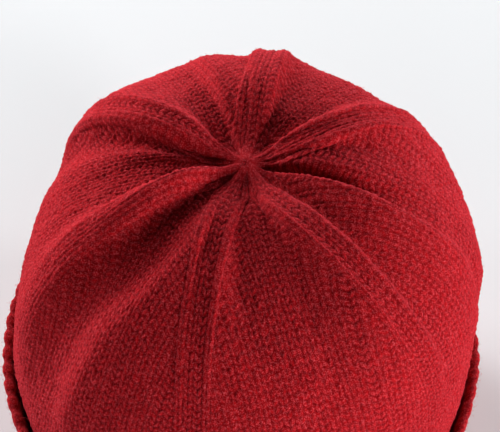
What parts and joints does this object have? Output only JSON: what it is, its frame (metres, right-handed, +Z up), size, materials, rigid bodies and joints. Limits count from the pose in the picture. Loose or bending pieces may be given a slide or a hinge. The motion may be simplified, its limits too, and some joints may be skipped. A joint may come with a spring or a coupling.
{
  "type": "knitted beanie with a turned-up ribbed cuff",
  "caption": "Knitted beanie with a domed crown gathered by decrease bands into a dimple and a turned-up ribbed cuff, standing on its lower fold.",
  "frame": {"origin": "middle of the bounding box on the floor, under the fold of the cuff", "axes": "+Z up through the crown, -Y towards the front of the hat, +X to the right seen from the front"},
  "size_m": [0.1735, 0.2042, 0.1443],
  "materials": {
    "crown_knit": "soft brushed red wool in plain stockinette, matt with a pale halo of fibres",
    "cuff_rib": "soft brushed red wool in a one by one rib, matt with a pale halo of fibres"
  },
  "bodies": {
    "root": {"crown": "crown_knit", "cuff": "cuff_rib"}
  },
  "joints": []
}
